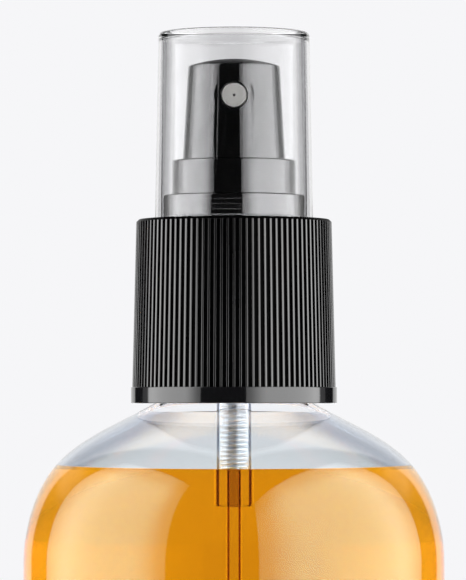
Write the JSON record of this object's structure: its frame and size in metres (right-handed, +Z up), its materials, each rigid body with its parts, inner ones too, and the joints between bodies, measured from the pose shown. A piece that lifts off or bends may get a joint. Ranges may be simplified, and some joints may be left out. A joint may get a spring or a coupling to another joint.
{
  "type": "pump oil bottle",
  "caption": "Round clear bottle of amber oil with a ribbed black screw closure, a fine-mist finger pump and a clear pull-off overcap.",
  "frame": {"origin": "centre of the ring that the bottle stands on", "axes": "+Z up along the bottle's axis, the nozzle points along -Y"},
  "size_m": [0.059, 0.059, 0.1625],
  "materials": {
    "clear_bottle": "gloss",
    "oil": "gloss",
    "black_closure": "gloss",
    "black_pump": "gloss",
    "clear_overcap": "gloss",
    "clear_housing": "gloss",
    "dip_tube": "gloss",
    "gasket_foam": "matte",
    "seal": "satin",
    "stem_plastic": "satin",
    "piston_plastic": "satin",
    "nozzle_plastic": "satin",
    "spring_steel": "polished",
    "ball_steel": "polished"
  },
  "bodies": {
    "bottle": {"bottle": "clear_bottle", "oil": "oil"},
    "pump": {"pump_housing": "clear_housing", "dip_tube": "dip_tube", "collar": "black_pump", "gland": "seal", "gasket": "gasket_foam", "return_spring": "spring_steel"},
    "closure": {"closure": "black_closure"},
    "overcap": {"overcap": "clear_overcap"},
    "plunger": {"spring_plunger": "stem_plastic"},
    "actuator": {"actuator": "black_pump", "nozzle_insert": "nozzle_plastic", "stem": "stem_plastic"},
    "piston": {"piston": "piston_plastic"},
    "inlet_ball": {"inlet_ball": "ball_steel"}
  },
  "joints": [
    {"name": "pump_lift", "type": "slide", "parent": "bottle", "child": "pump", "axis": [0, 0, 1], "range_m": [0, 0.00476]},
    {"name": "closure_turn", "type": "hinge", "parent": "pump", "child": "closure", "pos_m": [0, 0, 0.1234], "axis": [0, 0, 1], "range_deg": [0, 540]},
    {"name": "overcap_lift", "type": "slide", "parent": "closure", "child": "overcap", "axis": [0, 0, 1], "range_m": [0, 0.03]},
    {"name": "actuator_press", "type": "slide", "parent": "pump", "child": "plunger", "axis": [0, 0, -1], "range_m": [0, 0.0044], "stiffness_N_per_m": 120, "springref_m": -0.01, "deforming": ["return_spring"]},
    {"name": "actuator_turn", "type": "hinge", "parent": "plunger", "child": "actuator", "pos_m": [0, 0, 0.15], "axis": [0, 0, 1], "continuous": true},
    {"name": "piston_float", "type": "slide", "parent": "plunger", "child": "piston", "axis": [0, 0, 1], "range_m": [0, 0.0006]},
    {"name": "inlet_ball_lift", "type": "slide", "parent": "pump", "child": "inlet_ball", "axis": [0, 0, 1], "range_m": [0, 0.001]}
  ],
  "couplings": [
    {"joint": "pump_lift", "follows": "closure_turn", "m_per_rad": 0.00050532}
  ]
}
